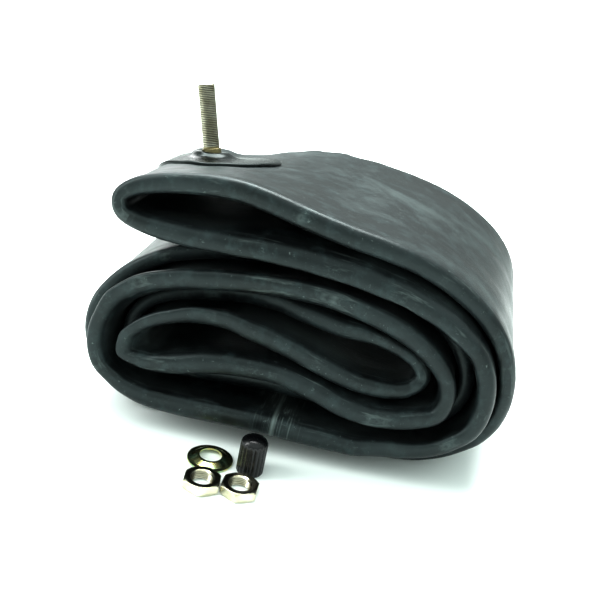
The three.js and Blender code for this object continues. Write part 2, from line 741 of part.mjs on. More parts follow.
const butylRubber = finish(0x2b3230, 0.55, 0);
const patchRubber = finish(0x121413, 0.2, 0);
const nickelPlate = finish(0xb4b1a2, 0.3, 1);
const brass = finish(0xb08d4c, 0.35, 1);
const steel = finish(0x9a9a98, 0.35, 1);
const sealRubber = finish(0xa03a2c, 0.6, 0);
const yellowZinc = finish(0xc9c08a, 0.3, 1);
const blackPlastic = finish(0x0d0f10, 0.3, 0);

// ---- The assembly -----------------------------------------------------------------------
const group = new THREE.Group();
const model = new THREE.Group();
model.position.set(-origin[0], -origin[1], 0);
group.add(model);

function add(name, shape, material, parent) {
  const geometry = geometryOf(shape instanceof THREE.BufferGeometry ? solid(shape) : shape);
  const mesh = new THREE.Mesh(geometry, material);
  mesh.name = name;
  parent.add(mesh);
  return mesh;
}

add('tube', tube(), butylRubber, model);
add('valve_patch', valvePatch(), patchRubber, model);

const valveGroup = new THREE.Group();
valveGroup.applyMatrix4(valve);
model.add(valveGroup);
add('valve_stem', valveStem(), nickelPlate, valveGroup);
add('core_plug', corePlug(), brass, valveGroup);
add('core_barrel', coreBarrel(), brass, valveGroup);
add('core_gasket', coreGasket(), sealRubber, valveGroup);
add('core_pin', corePin(), brass, valveGroup);
add('core_seat_seal', coreSeatSeal(), sealRubber, valveGroup);
add('core_spring', coreSpring(), steel, valveGroup);
add('core_cup', coreCup(), brass, valveGroup);

// The loose pieces lie in front of the roll, two by two.
const [looseX, looseY] = looseAt;
const nutTwo = [looseX + nutAcrossFlats + looseGap, looseY + 0.9];
const loose = [
  ['rim_nut_1', rimNut, nickelPlate, looseAt, 2],
  ['rim_nut_2', rimNut, nickelPlate, nutTwo, -4],
  ['cup_washer', cupWasher, yellowZinc, [looseX, looseY + nutCorner + washerRadius + looseGap], 0],
  ['valve_cap', valveCap, blackPlastic,
    [looseX + washerRadius + capRadius + looseGap * 2,
      nutTwo[1] + nutCorner + capRadius + looseGap * 2], 0],
];
loose.forEach(([name, build, material, [x, y], turn]) => {
  const mesh = add(name, build(), material, model);
  mesh.position.set(x, y, 0);
  mesh.rotation.z = THREE.MathUtils.degToRad(turn);
});

export default group;
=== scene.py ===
"""A heavy motorcycle inner tube, let down, folded flat and rolled up, with its valve and hardware."""

import json
import logging
import math
from dataclasses import dataclass, field
from enum import Enum
from typing import Callable

import bmesh
import bpy
from mathutils import Matrix, Vector, noise


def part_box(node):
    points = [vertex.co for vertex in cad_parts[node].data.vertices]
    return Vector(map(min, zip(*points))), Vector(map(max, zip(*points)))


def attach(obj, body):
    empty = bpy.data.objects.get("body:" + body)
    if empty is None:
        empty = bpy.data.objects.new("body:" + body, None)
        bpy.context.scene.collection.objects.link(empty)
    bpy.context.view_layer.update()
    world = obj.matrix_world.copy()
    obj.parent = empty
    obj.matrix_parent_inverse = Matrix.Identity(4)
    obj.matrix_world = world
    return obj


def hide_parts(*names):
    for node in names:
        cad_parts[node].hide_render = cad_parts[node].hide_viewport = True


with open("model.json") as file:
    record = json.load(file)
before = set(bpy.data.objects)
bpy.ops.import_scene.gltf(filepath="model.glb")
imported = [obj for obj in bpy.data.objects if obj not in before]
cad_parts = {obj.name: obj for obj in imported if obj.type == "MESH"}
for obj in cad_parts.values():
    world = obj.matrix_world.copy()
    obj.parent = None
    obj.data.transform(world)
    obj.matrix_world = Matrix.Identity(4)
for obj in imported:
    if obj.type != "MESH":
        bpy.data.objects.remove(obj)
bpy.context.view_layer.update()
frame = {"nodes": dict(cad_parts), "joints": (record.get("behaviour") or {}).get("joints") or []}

MM = 0.001
log = logging.getLogger("inner_tube")

Placed = tuple[Vector, tuple[float, ...]]


# ---- Small tools ------------------------------------------------------------------------


def linear(hex_value: int) -> tuple[float, float, float, float]:
    """Turns an sRGB hex colour into the linear colour that a shader takes.

    Args:
        hex_value: the colour, such as 0x2B3230.

    Returns:
        Red, green, blue and an alpha of 1.
    """
    channels = [(hex_value >> shift & 255) / 255 for shift in (16, 8, 0)]
    red, green, blue = (c / 12.92 if c <= 0.04045 else ((c + 0.055) / 1.055) ** 2.4 for c in channels)
    return (red, green, blue, 1.0)


def smoothstep(low: float, high: float, value: float) -> float:
    """Eases from 0 at low to 1 at high.

    Args:
        low: where the ease starts.
        high: where it ends.
        value: the place asked for.

    Returns:
        The eased share.
    """
    share = min(1.0, max(0.0, (value - low) / (high - low)))
    return share * share * (3 - 2 * share)


def add(
    tree: bpy.types.NodeTree,
    kind: str,
    settings: dict | None = None,
    links: dict | None = None,
) -> bpy.types.Node:
    """Adds one node with its settings and links.

    Args:
        tree: the node tree that it joins.
        kind: the node's type.
        settings: values by input name or number, or by the node's own property.
        links: the sockets that feed its inputs, by input name or number.

    Returns:
        The new node.
    """
    node = tree.nodes.new(kind)
    for key, value in (settings or {}).items():
        if isinstance(key, int) or key in node.inputs:
            node.inputs[key].default_value = value
        else:
            setattr(node, key, value)
    for key, source in (links or {}).items():
        tree.links.new(source, node.inputs[key])
    return node


def new_material(name: str) -> tuple[bpy.types.Material, bpy.types.NodeTree]:
    """Starts a material with an empty node tree.

    Args:
        name: the real material and how its surface was made.

    Returns:
        The material and its tree.
    """
    material = bpy.data.materials.new(name)
    material.use_nodes = True
    material.node_tree.nodes.clear()
    return material, material.node_tree


def shown(
    tree: bpy.types.NodeTree, settings: dict, links: dict, height: bpy.types.NodeSocket, relief_mm: float
) -> None:
    """Ends a material: a bump from its height, then the surface and the output.

    Args:
        tree: the material's tree.
        settings: values of the surface shader.
        links: sockets that feed the surface shader.
        height: the relief, from 0 to 1.
        relief_mm: how deep the relief is.
    """
    bump = add(tree, "ShaderNodeBump", {"Strength": 1.0, "Distance": relief_mm * MM}, {"Height": height})
    surface = add(tree, "ShaderNodeBsdfPrincipled", settings, {**links, "Normal": bump.outputs[0]})
    add(tree, "ShaderNodeOutputMaterial", None, {"Surface": surface.outputs[0]})


Socket = bpy.types.NodeSocket
Tree = bpy.types.NodeTree


def kept(tree: Tree, name: str) -> Socket:
    """Reads a value that a piece keeps on its points.

    Args:
        tree: the material's tree.
        name: the value's name.

    Returns:
        The value.
    """
    return add(tree, "ShaderNodeAttribute", {"attribute_name": name}).outputs["Fac"]


def speckle(
    tree: Tree, place: Socket, size_mm: float, detail: float, rough: float = 0.5, warp: float = 0.0
) -> Socket:
    """Noise of a real size.

    Args:
        tree: the material's tree.
        place: where the noise is read.
        size_mm: how large its marks are.
        detail: how many finer layers it has.
        rough: how strong the finer layers are.
        warp: how far it is distorted.

    Returns:
        The noise, from 0 to 1.
    """
    settings = {"Scale": 1 / (size_mm * MM), "Detail": detail, "Roughness": rough, "Distortion": warp}
    return add(tree, "ShaderNodeTexNoise", settings, {"Vector": place}).outputs[0]


def drawn_out(
    tree: Tree, along: Socket, size_mm: tuple[float, float, float], detail: float, rough: float
) -> Socket:
    """Noise that is stretched along the band or across it.

    Args:
        tree: the material's tree.
        along: way, across and rim of the point.
        size_mm: how long its marks are along and across, then a plain factor for the rim.
        detail: how many finer layers it has.
        rough: how strong the finer layers are.

    Returns:
        The noise, from 0 to 1.
    """
    scale = (1 / (size_mm[0] * MM), 1 / (size_mm[1] * MM), size_mm[2])
    drawn = add(tree, "ShaderNodeMapping", {"Scale": scale}, {"Vector": along})
    settings = {"Scale": 1.0, "Detail": detail, "Roughness": rough}
    return add(tree, "ShaderNodeTexNoise", settings, {"Vector": drawn.outputs[0]}).outputs[0]


def ranged(
    tree: Tree, value: Socket, seen: tuple[float, float], given: tuple[float, float] = (0.0, 1.0)
) -> Socket:
    """Stretches one range of a value to another.

    Args:
        tree: the tree.
        value: the value.
        seen: the range that it is read in.
        given: the range that it becomes.

    Returns:
        The new value.
    """
    settings = {"From Min": seen[0], "From Max": seen[1], "To Min": given[0], "To Max": given[1]}
    return add(tree, "ShaderNodeMapRange", settings, {"Value": value}).outputs[0]


def sums(tree: Tree, operation: str, *terms: Socket | float, clamped: bool = False) -> Socket:
    """Works out a sum of values and plain numbers.

    Args:
        tree: the tree.
        operation: the kind of sum.
        terms: what it is made of, in order.
        clamped: whether the answer stays between 0 and 1.

    Returns:
        The answer.
    """
    settings = {"operation": operation, "use_clamp": clamped}
    settings |= {k: term for k, term in enumerate(terms) if isinstance(term, float)}
    links = {k: term for k, term in enumerate(terms) if not isinstance(term, float)}
    return add(tree, "ShaderNodeMath", settings, links).outputs[0]


def mixed(tree: Tree, share: Socket, first: Socket | tuple, second: Socket | tuple) -> Socket:
    """Mixes two colours.

    Args:
        tree: the tree.
        share: how much of the second there is.
        first: one colour, plain or worked out.
        second: the other.

    Returns:
        The mixed colour.
    """
    settings = {"data_type": "RGBA"}
    settings |= {k: side for k, side in ((6, first), (7, second)) if isinstance(side, tuple)}
    links = {0: share} | {k: side for k, side in ((6, first), (7, second)) if not isinstance(side, tuple)}
    return add(tree, "ShaderNodeMix", settings, links).outputs[2]


def wrapped_grid(
    columns: int,
    rows: int,
    place: Callable[[int, int], Placed],
    layers: tuple[str, ...] = (),
    ring: bool = False,
) -> bmesh.types.BMesh:
    """Lays a grid round a shape and welds the seam where it meets itself.

    Args:
        columns: steps round the shape.
        rows: steps along it.
        place: gives a grid point's place in metres, and a value for each layer.
        layers: names of the values kept on the points.
        ring: whether the rows close on themselves too.

    Returns:
        The shape, its faces pointing outwards.
    """
    grid = bmesh.new()
    bmesh.ops.create_grid(grid, x_segments=columns, y_segments=rows, size=1.0)
    stores = [grid.verts.layers.float.new(name) for name in layers]
    for vert in grid.verts:
        column = round((vert.co.x + 1) * columns / 2) % columns
        row = round((vert.co.y + 1) * rows / 2)
        vert.co, values = place(column, row % rows if ring else row)
        for layer, value in zip(stores, values):
            vert[layer] = value
    bmesh.ops.remove_doubles(grid, verts=grid.verts, dist=2e-6)
    bmesh.ops.recalc_face_normals(grid, faces=grid.faces)
    return grid


def spun(profile: list[tuple[float, float]], sides: int) -> bmesh.types.BMesh:
    """Turns a closed profile about the Z axis, as a lathe does.

    Args:
        profile: radius and height of each corner, in millimetres.
        sides: steps in the full turn.

    Returns:
        The turned shape, in metres.
    """
    turned = bmesh.new()
    corners = [turned.verts.new((radius * MM, 0, height * MM)) for radius, height in profile]
    edges = [turned.edges.new((a, b)) for a, b in zip(corners, corners[1:] + corners[:1])]
    bmesh.ops.spin(
        turned,
        geom=corners + edges,
        cent=(0, 0, 0),
        axis=(0, 0, 1),
        angle=2 * math.pi,
        steps=sides,
        use_merge=True,
    )
    bmesh.ops.remove_doubles(turned, verts=turned.verts, dist=2e-6)
    bmesh.ops.recalc_face_normals(turned, faces=turned.faces)
    return turned


def eased(shape: bmesh.types.BMesh, radius_mm: float, chosen: Callable[[bmesh.types.BMEdge], bool]) -> None:
    """Rounds the sharp edges of a shape.

    Args:
        shape: the shape.
        radius_mm: how far the rounding reaches.
        chosen: says which sharp edges are rounded.
    """
    sharp = [e for e in shape.edges if len(e.link_faces) == 2 and e.calc_face_angle() > 0.5 and chosen(e)]
    bmesh.ops.bevel(
        shape,
        geom=sharp,
        offset=radius_mm * MM,
        affect="EDGES",
        segments=2,
        profile=0.5,
        material=-1,
        clamp_overlap=True,
    )


def piece(
    name: str,
    shape: bmesh.types.BMesh,
    finish: bpy.types.Material,
    stands_for: str,
    body: str,
    second: bpy.types.Material | None = None,
) -> bpy.types.Object:
    """Makes a finished piece of a shape and ties it to the frame.

    Args:
        name: the piece's own name.
        shape: its mesh, in the row frame. It is freed.
        finish: its material.
        stands_for: the CAD node that it replaces.
        body: the body that it moves with.
        second: the material of the faces that are marked for it.

    Returns:
        The new object.
    """
    mesh = bpy.data.meshes.new(name)
    shape.to_mesh(mesh)
    shape.free()
    mesh.shade_smooth()
    mesh.set_sharp_from_angle(angle=math.radians(38))
    mesh.materials.append(finish)
    if second:
        mesh.materials.append(second)
    made = bpy.data.objects.new(name, mesh)
    bpy.context.scene.collection.objects.link(made)
    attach(made, body)
    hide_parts(stands_for)
    log.info("%s: %d faces", name, len(mesh.polygons))
    return made


# ---- The folded band's route --------------------------------------------------------------


@dataclass(frozen=True)
class Stop:
    """A place on the band's route, seen on the roll's front face, in millimetres.

    Its x and z place the band's middle, squeeze is its thickness against a plain layer, back is how
    far its front edge stands back, bend_x and bend_z how that edge bends, and sink how far its back
    edge sinks.
    """

    x: float
    z: float
    squeeze: float = 1.0
    back: float = 0.0
    bend_x: float = 0.0
    bend_z: float = 0.0
    sink: float = 0.0


INNER_BAND = [
    Stop(-62.5, 82.4, 0.8),
    Stop(-50, 81.2, 1, 0, 0, -0.5),
    Stop(-36, 81.2, 1, 0, 0, -1),
    Stop(-22, 83, 1, 0, 0, -2.8),
    Stop(-6, 83.8, 1, 0, 0, -4),
    Stop(10, 83.2, 1, 0, 0, -4.6),
    Stop(26, 81.2, 0.97, 0, 0, -5),
    Stop(42, 76.2, 0.95, 0, -0.5, -3.5),
    Stop(57, 68, 0.93, 0, -1, -1.5),
    Stop(67.6, 58.3, 0.9),
    Stop(73.2, 47.5, 0.9),
    Stop(74.3, 37, 0.9, 0, 0.3, 0),
    Stop(72.5, 27.5, 0.88, 0, 0.5, 1.5),
    Stop(66, 18.5, 0.85, 0, 1, 4),
    Stop(56, 12.8, 0.85, 0, 1, 4),
    Stop(44, 11.1, 0.95, 0, 0, 3),
    Stop(30, 11, 0.95),
    Stop(14, 11.6, 1.05),
    Stop(-2, 12, 1.15, 0, 0, 0.8),
    Stop(-20, 12, 1.15, 0, 0, 1.4),
    Stop(-38, 12, 1.15, 0, 0, 1.4),
    Stop(-52, 13.2, 1, 0, -0.5, 1.4),
    Stop(-60.8, 17.8, 0.8, 0, -2, 1),
    Stop(-67.2, 25, 0.68, 0, -3, 0),
    Stop(-69.6, 33.5, 0.68, 0, -3, 0),
    Stop(-68.4, 42, 0.7, 0, -3, 1),
    Stop(-63.2, 50.6, 0.78, 0, -4, 2.5),
    Stop(-55, 57, 0.92, 0, -3, 3.5),
    Stop(-45, 61.5, 1, 0, -1, 3),
    Stop(-34, 64.5, 1, 0, 0, 2),
    Stop(-20, 66.7, 1, 0, 0, 1.8),
    Stop(-5, 67.5, 1, 0, 0, 2.3),
    Stop(10, 67, 1, 0, 0, 2.5),
    Stop(24, 64.8, 1, 0, 0, 2),
    Stop(37, 61, 1, 0, 0, 1.8),
    Stop(48, 55.5, 0.95, 0, 0.3, 1.5),
    Stop(56.5, 48, 0.85, 0, 1, 0.5),
    Stop(59.8, 39.5, 0.8, 0, 1, 0),
    Stop(58.5, 32, 0.85, 0, 0.6, 0),
    Stop(53, 28.3, 1, 0, 0, 0.5),
    Stop(43.5, 26.6, 1, 0, 0, -0.7),
    Stop(34, 26.5, 1, 0, 0, -1.5),
    Stop(24, 28, 1, 0, 0, -1.5),
    Stop(12, 31.8, 1, 0, 0, -1),
    Stop(-2, 34.6, 1),
    Stop(-16, 34.8, 1.1),
    Stop(-30, 33, 1.15),
    Stop(-42, 29.5, 1.1, 0, 0, 0.5),
    Stop(-50.5, 28.4, 0.85, 1, -3, 0),
    Stop(-55.7, 31.4, 0.65, 1, -6, -1),
    Stop(-56.6, 37, 0.65, 1, -5, 0),
    Stop(-53, 42.6, 0.65, 1, -3, 1),
    Stop(-46.5, 46, 0.7, 0, -1, 3),
    Stop(-37, 48, 0.8, 0, 0, 5),
    Stop(-26, 49.3, 0.9, 0, 0, 4),
    Stop(-14, 48.3, 1, 0, 0, 2),
    Stop(-3, 46.3, 1, 0, 0, 1),
    Stop(7, 43.3, 1, 1),
    Stop(16, 39.8, 1, 2),
    Stop(25, 37, 0.97, 3),
    Stop(34, 35.7, 0.95, 4),
    Stop(43, 36.2, 0.85, 5),
]
INNER_END_FOLD = [
    Stop(48.2, 39.1, 0.8, 6),
    Stop(50, 43, 0.75, 7),
    Stop(47.6, 47, 0.7, 8),
]
OUTER_BAND = [
    Stop(41, 50.6, 0.7, 9),
    Stop(30, 53.9, 0.85, 9),
    Stop(16, 55, 1, 9),
    Stop(3, 57, 1, 10),
    Stop(-10, 58.7, 0.95, 12),
    Stop(-24, 57.6, 0.87, 15),
    Stop(-37, 55.3, 0.8, 16),
    Stop(-48, 52.7, 0.7, 16),
    Stop(-57, 47.6, 0.68, 16),
    Stop(-62.2, 40, 0.65, 16),
    Stop(-62.8, 31.6, 0.65, 16),
    Stop(-57.8, 24.4, 0.68, 16),
    Stop(-48, 20.9, 0.7, 16),
    Stop(-34, 21, 0.8, 16),
    Stop(-18, 22, 0.92, 16),
    Stop(-2, 22.3, 0.95, 16),
    Stop(14, 21.3, 0.9, 16),
    Stop(28, 19.2, 0.78, 16),
    Stop(42, 18.9, 0.75, 16),
    Stop(54.5, 20.6, 0.75, 16),
    Stop(62.7, 25.2, 0.75, 16),
    Stop(66.6, 33, 0.75, 15),
    Stop(66.9, 41, 0.75, 15),
    Stop(63.8, 49.5, 0.75, 15),
    Stop(56.4, 58.6, 0.76, 16),
    Stop(46, 65.8, 0.8, 16),
    Stop(33, 71, 0.83, 16),
    Stop(18, 74.2, 0.85, 16),
    Stop(4, 75.5, 0.85, 16),
    Stop(-10, 75.6, 0.85, 16),
    Stop(-24, 74.4, 0.83, 16),
    Stop(-38, 72.1, 0.82, 16),
    Stop(-50.5, 68.6, 0.77, 15),
    Stop(-61, 62.4, 0.74, 14),
    Stop(-69.8, 54, 0.72, 12),
    Stop(-75.1, 44.5, 0.72, 11),
    Stop(-76.2, 34, 0.72, 10),
    Stop(-73.4, 22.6, 0.72, 11),
    Stop(-66.4, 11.9, 0.74, 13),
    Stop(-56.5, 5.6, 0.76, 15),
    Stop(-44, 3.1, 0.78, 16),
    Stop(-24, 3.1, 0.78, 16),
    Stop(-4, 3.1, 0.78, 16),
    Stop(16, 3.1, 0.78, 16),
    Stop(32, 3.1, 0.78, 16),
    Stop(46, 3.4, 0.77, 16),
    Stop(58.3, 5.4, 0.75, 16),
    Stop(69.4, 11.5, 0.75, 15),
    Stop(77.9, 20.3, 0.75, 13),
    Stop(81.6, 30, 0.75, 11),
    Stop(82.1, 40, 0.75, 9),
    Stop(80.2, 50, 0.78, 8),
    Stop(75.4, 60.8, 0.8, 7),
    Stop(66.8, 70.9, 0.85, 6),
    Stop(54.8, 79.4, 0.9, 5),
    Stop(42, 85.6, 0.92, 3),
    Stop(28, 89.6, 0.97, 1),
    Stop(12, 92.3, 1),
    Stop(-3, 95.3, 1, 0, 0, 0, 2),
    Stop(-16, 98.3, 1, 0, 0, 0, 5.5),
    Stop(-27, 100.2, 1, 0, 0, 0, 8),
    Stop(-38, 100.2, 1, 0, 0, 0, 9),
    Stop(-48, 98.9, 0.95, 0, 0, 0, 8),
    Stop(-57, 96.8, 0.88, 0, 0, 0, 4.5),
]
OUTER_END_FOLD = [
    Stop(-64.4, 93.8, 0.77, 0, 0, 0, 1.5),
    Stop(-68.5, 89.6, 0.67),
    Stop(-67.5, 85, 0.7),
]
ALL_STOPS = INNER_BAND + INNER_END_FOLD + OUTER_BAND + OUTER_END_FOLD


@dataclass(frozen=True)
class Station:
    """The band at one place of its route."""

    x: float
    z: float
    normal: tuple[float, float]
    thickness: float
    back: float
    bend: tuple[float, float]
    sink: float
    way: float


@dataclass
class Route:
    """The closed loop that the flattened tube follows, and the surface of the band round it."""

    stops: list[Stop] = field(default_factory=lambda: ALL_STOPS)
    flat_width: float = 140.0
    layer: float = 8.0
    wall: float = 2.4
    edge_length: float = 16.0
    back_flare: float = 26.0
    flare_foot: float = -75.0
    flare_span: float = 155.0
    settle: float = 9.0
    settle_from: tuple[float, float] = (-8.0, -52.0)
    settle_over: tuple[float, float] = (24.0, 54.0)
    front: float = -78.0
    samples: int = 7200
    fine: list[Station] = field(default_factory=list)

    def __post_init__(self) -> None:
        """Walks once round the loop and keeps a station at each small step."""
        way = 0.0
        last = None
        for i in range(self.samples):
            x, z = self.point(i / self.samples)
            way += math.hypot(x - last[0], z - last[1]) if last else 0.0
            last = (x, z)
            self.fine.append(self.station(i / self.samples, way))

    @property
    def length(self) -> float:
        """The loop's length."""
        return self.fine[-1].way

    def point(self, t: float) -> tuple[float, float]:
        """The middle of the band on a centripetal curve through the stops.

        Args:
            t: share of the loop's stops that lie behind.

        Returns:
            X and Z.
        """
        count = len(self.stops)
        at = (t % 1.0) * count
        first = int(at)
        weight = at - first
        a, b, c, d = (self.stops[(first + k) % count] for k in (-1, 0, 1, 2))
        before, here, after = (math.hypot(q.x - p.x, q.z - p.z) ** 0.5 for p, q in ((a, b), (b, c), (c, d)))

        def eased_value(p: float, q: float, r: float, s: float) -> float:
            """One coordinate of the curve."""
            leave = ((q - p) / before - (r - p) / (before + here) + (r - q) / here) * here
            arrive = ((r - q) / here - (s - q) / (here + after) + (s - r) / after) * here
            cubic = 2 * q - 2 * r + leave + arrive
            square = -3 * q + 3 * r - 2 * leave - arrive
            return q + leave * weight + square * weight**2 + cubic * weight**3

        return eased_value(a.x, b.x, c.x, d.x), eased_value(a.z, b.z, c.z, d.z)

    def station(self, t: float, way: float) -> Station:
        """The band at one place of the loop.

        Args:
            t: share of the loop's stops that lie behind.
            way: the distance round the loop.

        Returns:
            The station there.
        """
        x, z = self.point(t)
        ahead, behind = self.point(t + 1e-4), self.point(t - 1e-4)
        run = math.hypot(ahead[0] - behind[0], ahead[1] - behind[1])
        normal = (-(ahead[1] - behind[1]) / run, (ahead[0] - behind[0]) / run)
        at = (t % 1.0) * len(self.stops)
        here, after = self.stops[int(at)], self.stops[(int(at) + 1) % len(self.stops)]
        share = smoothstep(0, 1, at - int(at))
        squeeze, back, bend_x, bend_z, sink = (
            getattr(here, name) * (1 - share) + getattr(after, name) * share
            for name in ("squeeze", "back", "bend_x", "bend_z", "sink")
        )
        thickness = max(self.layer * squeeze, 2 * self.wall + 0.4)
        return Station(x, max(z, thickness / 2), normal, thickness, back, (bend_x, bend_z), sink, way)

    def surface(self, here: Station, across: float, off: float) -> Vector:
        """A point of the band.

        Args:
            here: the station.
            across: how far from the front edge towards the back edge.
            off: how far from the band's middle, along its normal.

        Returns:
            The place in millimetres.
        """
        bend = max(0.0, 1 - across / self.edge_length) ** 2
        y = across + here.back
        x = here.x + here.normal[0] * off + here.bend[0] * bend
        z = here.z + here.normal[1] * off + here.bend[1] * bend
        flare = self.back_flare * y * (x - self.flare_foot) / (self.flare_span * self.flat_width)
        shoulder = 1 - smoothstep(self.settle_from[1], self.settle_from[0], x)
        settled = self.settle * shoulder * smoothstep(*self.settle_over, z)
        return Vector((x + flare, y + self.front, z - (here.sink + settled) * y / self.flat_width))

    def at(self, way: float) -> Station:
        """The station at a distance round the loop.

        Args:
            way: the distance.

        Returns:
            The nearest station that is kept.
        """
        low, high = 0, len(self.fine) - 1
        while low < high:
            middle = (low + high) // 2
            if self.fine[middle].way < way:
                low = middle + 1
            else:
                high = middle
        return self.fine[low]

    def picked(self, turn: float, longest: float, start: int) -> list[Station]:
        """Stations close enough together to carry a smooth surface.

        Args:
            turn: the most that the band turns between two of them, in radians.
            longest: the furthest that two of them lie apart.
            start: the stop where the walk starts and ends.

        Returns:
            The stations in order.
        """
        first = round(start / len(self.stops) * self.samples)
        order = self.fine[first:] + self.fine[:first]
        chosen = [order[0]]
        for here, after in zip(order, order[1:]):
            last = chosen[-1]
            cosine = last.normal[0] * here.normal[0] + last.normal[1] * here.normal[1]
            turned = math.acos(max(-1.0, min(1.0, cosine)))
            if turned > turn or math.hypot(here.x - last.x, here.z - last.z) > longest:
                chosen.append(here)
        return chosen


# ---- Finishes -----------------------------------------------------------------------------


class Wear(Enum):
    """How much a metal surface has been handled."""

    FRESH = 0.15
    HANDLED = 0.45


@dataclass(frozen=True)
class ButylRubber:
    """Butyl rubber, extruded and cured on a mandrel, dusted with talc."""

    deep: int = 0x090C0D
    plain: int = 0x161C1E
    lifted: int = 0x273132
    talc: int = 0x9AA8A4
    sheen: int = 0xD3E3E2
    cloud_mm: float = 34.0
    spot_mm: float = 6.5
    scuff_mm: tuple[float, float] = (22.0, 1.3)
    scratch_mm: tuple[float, float] = (0.8, 14.0)
    grain_mm: float = 0.9
    fleck_mm: float = 2.2
    line_mm: float = 1.6
    rub_mm: tuple[float, float] = (2.0, 11.0)
    relief_mm: float = 0.14
    roughness: tuple[float, float] = (0.3, 0.52)

    def build(self) -> bpy.types.Material:
        """Charcoal with a green-grey cast: cloudy talc, rubbed lips and a faint butt joint."""
        material, tree = new_material("butyl rubber, cured, talc-dusted")
        place = add(tree, "ShaderNodeTexCoord").outputs["Object"]
        rim, way, across, joint = (kept(tree, name) for name in ("rim", "way", "across", "joint"))
        cloud = speckle(tree, place, self.cloud_mm, 5.0, 0.6, 0.6)
        spot = speckle(tree, place, self.spot_mm, 4.0, 0.65)
        # Scuffs run along the band, so the pattern is long that way and short across it.
        along = add(tree, "ShaderNodeCombineXYZ", None, {"X": way, "Y": across, "Z": rim}).outputs[0]
        scuff = drawn_out(tree, along, (*self.scuff_mm, 2.0), 5.0, 0.7)
        scratch = drawn_out(tree, along, (*self.scratch_mm, 1.0), 3.0, 0.6)
        grain = speckle(tree, place, self.grain_mm, 3.0, 0.6)
        body = mixed(tree, ranged(tree, cloud, (0.34, 0.62)), linear(self.deep), linear(self.plain))
        mottled = mixed(tree, ranged(tree, spot, (0.5, 0.75)), body, linear(self.lifted))
        # Talc stays on the lips, in streaks, and in clouds between them.
        streak = ranged(tree, scuff, (0.56, 0.82), (0.0, 0.3))
        on_lip = sums(tree, "MULTIPLY", streak, rim)
        dusty = ranged(tree, cloud, (0.48, 0.76), (0.0, 0.13))
        flat = sums(tree, "MULTIPLY_ADD", rim, -0.8, 1.0)
        on_flat = sums(tree, "MULTIPLY", dusty, flat)
        dust = sums(tree, "ADD", on_lip, on_flat, clamped=True)
        # Small pale specks are where the talc has caked.
        fleck = speckle(tree, place, self.fleck_mm, 6.0, 0.8)
        flecks = ranged(tree, fleck, (0.62, 0.72), (0.0, 0.45))
        dust = sums(tree, "MAXIMUM", dust, flecks)
        # The butt joint is a pale line with scratches across it and a rubbed patch beside it.
        line = ranged(tree, joint, (0.0, self.line_mm * MM), (0.55, 0.0))
        near = ranged(tree, joint, tuple(mm * MM for mm in self.rub_mm), (1.0, 0.0))
        torn = ranged(tree, scratch, (0.52, 0.72), (0.0, 0.6))
        rubbed = sums(tree, "MULTIPLY", near, torn)
        mark = sums(tree, "MAXIMUM", line, rubbed)
        pale = sums(tree, "MAXIMUM", dust, mark)
        colour = mixed(tree, pale, mottled, linear(self.talc))
        gloss = ranged(tree, cloud, (0.3, 0.68), self.roughness)
        worn = sums(tree, "MULTIPLY_ADD", pale, 0.25, gloss)
        fine = sums(tree, "MULTIPLY_ADD", grain, 0.25, spot)
        height = sums(tree, "MULTIPLY_ADD", scuff, 0.6, fine)
        settings = {"IOR": 1.52, "Specular Tint": linear(self.sheen)}
        shown(tree, settings, {"Base Color": colour, "Roughness": worn}, height, self.relief_mm)
        return material


@dataclass(frozen=True)
class MouldedPad:
    """Natural rubber, moulded against polished steel and vulcanised on."""

    deep: int = 0x090C0C
    # Paler colour of the scuffs, and of the lip ring, where it is partly a painted highlight.
    worn: int = 0x222928
    sheen: int = 0xC6DAD7
    dimple_mm: float = 3.2
    scuff_mm: float = 1.1
    relief_mm: float = 0.08

    def build(self) -> bpy.types.Material:
        """Near black and wet-looking, with small scuffs that dull it, and a paler lip ring that is partly
        rubbed talc and partly a painted highlight.
        """
        material, tree = new_material("natural rubber, moulded, glossy")
        place = add(tree, "ShaderNodeTexCoord").outputs["Object"]
        wave = speckle(tree, place, self.dimple_mm, 3.0)
        scuff = speckle(tree, place, self.scuff_mm, 5.0, 0.75)
        spots = ranged(tree, scuff, (0.58, 0.8))
        # The lip ring is painted paler and rougher: partly rubbed talc, partly a painted highlight along the
        # raised lip. The spots are scuffs.
        rubbed = sums(tree, "MULTIPLY_ADD", kept(tree, "lip"), 0.6, spots, clamped=True)
        colour = mixed(tree, rubbed, linear(self.deep), linear(self.worn))
        rough = ranged(tree, rubbed, (0.0, 1.0), (0.24, 0.5))
        settings = {"IOR": 1.42, "Specular Tint": linear(self.sheen)}
        shown(tree, settings, {"Base Color": colour, "Roughness": rough}, wave, self.relief_mm)
        return material


@dataclass(frozen=True)
class PlatedMetal:
    """A turned or pressed metal with a thin plating."""

    name: str
    plate: int
    tint: int
    # The dark colour of the dirt spots, and also of the painted shade in the thread's grooves.
    stain_and_groove_shade: int
    roughness: float = 0.24
    wear: Wear = Wear.FRESH
    tint_mm: float = 4.0
    soil_mm: float = 0.9
    relief_mm: float = 0.02

    def build(self) -> bpy.types.Material:
        """Bright, with a drifting tint, dull stains, and painted shade that darkens the thread's grooves."""
        material, tree = new_material(self.name)
        place = add(tree, "ShaderNodeTexCoord").outputs["Object"]
        drift = speckle(tree, place, self.tint_mm, 2.0)
        soil = speckle(tree, place, self.soil_mm, 6.0, 0.7)
        colour = mixed(tree, ranged(tree, drift, (0.35, 0.65)), linear(self.plate), linear(self.tint))
        spots = ranged(tree, soil, (0.5, 0.78), (0.0, self.wear.value))
        # Painted shade: the thread's grooves are darkened towards the stain colour, added to the dull dirt
        # spots.
        dirt_and_groove_shade = sums(tree, "MULTIPLY_ADD", kept(tree, "groove"), 0.82, spots, clamped=True)
        stained = mixed(tree, dirt_and_groove_shade, colour, linear(self.stain_and_groove_shade))
        rough = ranged(tree, dirt_and_groove_shade, (0.0, 1.0), (self.roughness, 0.6))
        shown(tree, {"Metallic": 1.0}, {"Base Color": stained, "Roughness": rough}, soil, self.relief_mm)
        return material


